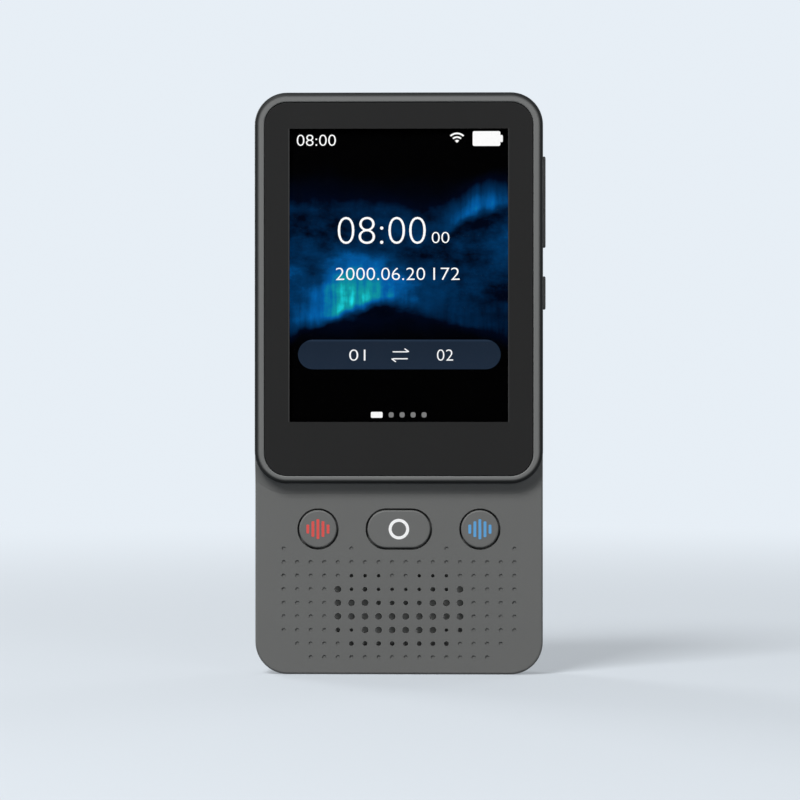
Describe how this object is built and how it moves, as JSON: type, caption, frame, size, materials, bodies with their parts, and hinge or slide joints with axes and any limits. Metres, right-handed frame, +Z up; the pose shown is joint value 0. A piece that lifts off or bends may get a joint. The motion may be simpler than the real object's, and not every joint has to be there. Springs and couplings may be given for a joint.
{
  "type": "handheld translator",
  "caption": "Pocket translator with an upright touch screen in a raised bezel, push-to-talk and home keys over a drilled speaker grille, and side keys for volume and power.",
  "frame": {"origin": "middle of the footprint of the bottom end, on which it stands", "axes": "+Z up the body towards the screen's top edge, -Y out of the screen, +X towards the side keys"},
  "size_m": [0.061, 0.0128, 0.122],
  "materials": {
    "housing": "fine matte grain",
    "bezel": "satin",
    "key": "fine matte grain",
    "red_key": "matte, with a red sound-wave mark",
    "home_key": "matte, with a white ring",
    "blue_key": "matte, with a blue sound-wave mark",
    "cover_glass": "gloss, with a black printed border",
    "sensor_glass": "clear",
    "display": "polished, lit",
    "black_trim": "gloss",
    "black_plastic": "matte",
    "white_plastic": "satin",
    "clear_lens": "polished",
    "silicone": "matte",
    "black_rubber": "matte",
    "adhesive": "matte",
    "white_foam": "matte",
    "thermal_pad": "matte",
    "sheet_steel": "rolled",
    "screw_steel": "black oxide",
    "bright_screw": "nickel plated",
    "nickel": "nickel plated",
    "cast_alloy": "as cast",
    "anodised": "anodised",
    "battery_pouch": "laminate foil",
    "copper": "enamelled wire",
    "gold_part": "plated",
    "circuit_board": "solder mask",
    "chip": "moulded",
    "flat_cable": "polyimide",
    "wire": "matte"
  },
  "bodies": {
    "casing": {"front_housing": "housing", "rear_cover": "housing", "screen_bezel": "bezel", "cover_glass": "cover_glass", "glass_adhesive": "adhesive", "touch_sensor": "sensor_glass", "display_panel": "display", "light_guide": "white_plastic", "backlight_tray": "sheet_steel", "display_flex": "flat_cable", "mid_frame": "cast_alloy", "key_switches": "black_plastic", "key_domes": "sheet_steel", "key_membrane": "silicone", "volume_pivot_pin": "bright_screw", "side_key_bracket": "black_plastic", "side_key_flex": "flat_cable", "side_switches": "black_plastic", "side_domes": "sheet_steel", "grille_mesh": "black_plastic", "speaker_gasket": "black_rubber", "speaker_frame": "black_plastic", "speaker_magnet": "nickel", "speaker_coil": "copper", "speaker_cone": "black_plastic", "sub_board": "circuit_board", "usb_shell": "nickel", "usb_tongue": "black_plastic", "bottom_microphone": "gold_part", "bottom_mic_boot": "black_rubber", "top_microphone": "gold_part", "top_mic_boot": "black_rubber", "main_board": "circuit_board", "shield_can": "sheet_steel", "processor": "chip", "memory_chip": "chip", "thermal_pad": "thermal_pad", "board_link_flex": "flat_cable", "battery_cell": "battery_pouch", "battery_lead": "wire", "battery_tape": "white_foam", "wifi_antenna": "gold_part", "camera_plate": "black_trim", "camera_ring": "anodised", "camera_window": "clear_lens", "camera_module": "black_plastic", "flash_lens": "clear_lens", "flash_led": "white_plastic", "rear_screws": "screw_steel", "board_screws": "bright_screw", "frame_screws": "bright_screw"},
    "left_key": {"left_key": "red_key", "left_actuator": "white_plastic"},
    "home_key": {"home_key": "home_key", "home_actuator": "white_plastic"},
    "right_key": {"right_key": "blue_key", "right_actuator": "white_plastic"},
    "volume_key": {"volume_key": "key"},
    "power_key": {"power_key": "key"}
  },
  "joints": [
    {"name": "left_key_press", "type": "slide", "parent": "casing", "child": "left_key", "axis": [0, 1, 0], "range_m": [0, 0.0004], "stiffness_N_per_m": 2500, "deforming": ["key_domes", "key_membrane"]},
    {"name": "home_key_press", "type": "slide", "parent": "casing", "child": "home_key", "axis": [0, 1, 0], "range_m": [0, 0.0004], "stiffness_N_per_m": 2500, "deforming": ["key_domes", "key_membrane"]},
    {"name": "right_key_press", "type": "slide", "parent": "casing", "child": "right_key", "axis": [0, 1, 0], "range_m": [0, 0.0004], "stiffness_N_per_m": 2500, "deforming": ["key_domes", "key_membrane"]},
    {"name": "volume_rock", "type": "hinge", "parent": "casing", "child": "volume_key", "pos_m": [0.02675, -0.0021, 0.0992], "axis": [0, 1, 0], "range_deg": [-1.6, 1.6], "stiffness_Nm_per_rad": 0.2, "deforming": ["side_domes"]},
    {"name": "power_press", "type": "slide", "parent": "casing", "child": "power_key", "axis": [-1, 0, 0], "range_m": [0, 0.0003], "stiffness_N_per_m": 2500, "deforming": ["side_domes"]}
  ]
}
